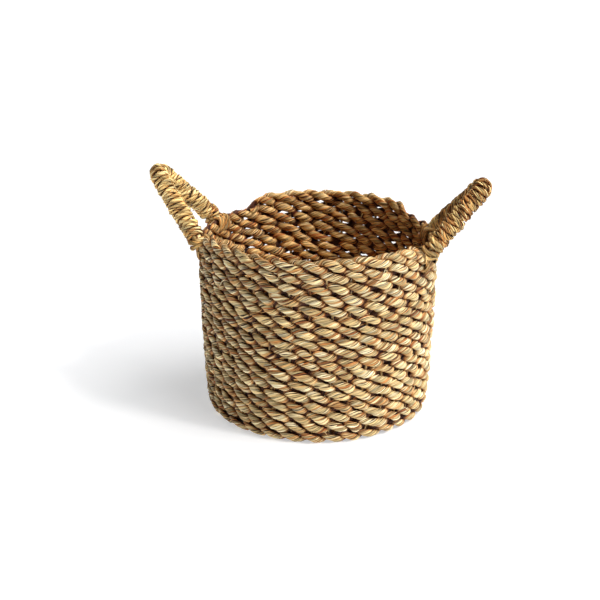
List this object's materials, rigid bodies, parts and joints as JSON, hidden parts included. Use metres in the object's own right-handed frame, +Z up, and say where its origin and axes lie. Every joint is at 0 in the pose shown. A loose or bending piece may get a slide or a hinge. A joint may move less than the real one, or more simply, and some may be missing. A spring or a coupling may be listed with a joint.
{
  "type": "seagrass storage basket",
  "caption": "Round twined seagrass basket, slightly flared, with a flat woven base and two cord-wrapped loop handles that lean outward.",
  "frame": {"origin": "centre of the basket's outline, at the floor", "axes": "+X through the right handle, +Y away from a viewer who has the handles at left and right, +Z up through the mouth"},
  "size_m": [0.3766, 0.2669, 0.2693],
  "materials": {
    "seagrass_weft": "dry natural twisted seagrass, straw and tan",
    "seagrass_stake": "dry seagrass spokes, tan",
    "seagrass_wrap": "thin twisted seagrass cord wound tightly",
    "fibre_core": "bundled seagrass core cord"
  },
  "bodies": {
    "basket": {"corner_round": "seagrass_weft", "wall_course_02": "seagrass_weft", "wall_course_03": "seagrass_weft", "wall_course_04": "seagrass_weft", "wall_course_05": "seagrass_weft", "wall_course_06": "seagrass_weft", "wall_course_07": "seagrass_weft", "wall_course_08": "seagrass_weft", "wall_course_09": "seagrass_weft", "wall_course_10": "seagrass_weft", "wall_course_11": "seagrass_weft", "wall_course_12": "seagrass_weft", "wall_course_13": "seagrass_weft", "wall_course_14": "seagrass_weft", "wall_course_15": "seagrass_weft", "wall_course_16": "seagrass_weft", "rim_course_front": "seagrass_weft", "rim_course_back": "seagrass_weft", "base_round_1": "seagrass_weft", "base_round_2": "seagrass_weft", "base_round_3": "seagrass_weft", "base_round_4": "seagrass_weft", "base_round_5": "seagrass_weft", "base_round_6": "seagrass_weft", "base_round_7": "seagrass_weft", "base_hub_lower": "seagrass_stake", "base_hub_upper": "seagrass_stake", "stakes_tall": "seagrass_stake", "stakes_short": "seagrass_stake", "right_core_tail_front": "fibre_core", "right_foot_lashing_front": "seagrass_wrap", "right_core_tail_back": "fibre_core", "right_foot_lashing_back": "seagrass_wrap", "left_core_tail_front": "fibre_core", "left_foot_lashing_front": "seagrass_wrap", "left_core_tail_back": "fibre_core", "left_foot_lashing_back": "seagrass_wrap"},
    "right_handle": {"right_handle_core": "fibre_core", "right_handle_wrap": "seagrass_wrap"},
    "left_handle": {"left_handle_core": "fibre_core", "left_handle_wrap": "seagrass_wrap"}
  },
  "joints": [
    {"name": "right_handle_flex", "type": "hinge", "parent": "basket", "child": "right_handle", "pos_m": [0.129, 0, 0.2005], "axis": [0, 1, 0], "range_deg": [-45, 12], "stiffness_Nm_per_rad": 1.2},
    {"name": "left_handle_flex", "type": "hinge", "parent": "basket", "child": "left_handle", "pos_m": [-0.129, 0, 0.2005], "axis": [0, -1, 0], "range_deg": [-45, 12], "stiffness_Nm_per_rad": 1.2}
  ]
}
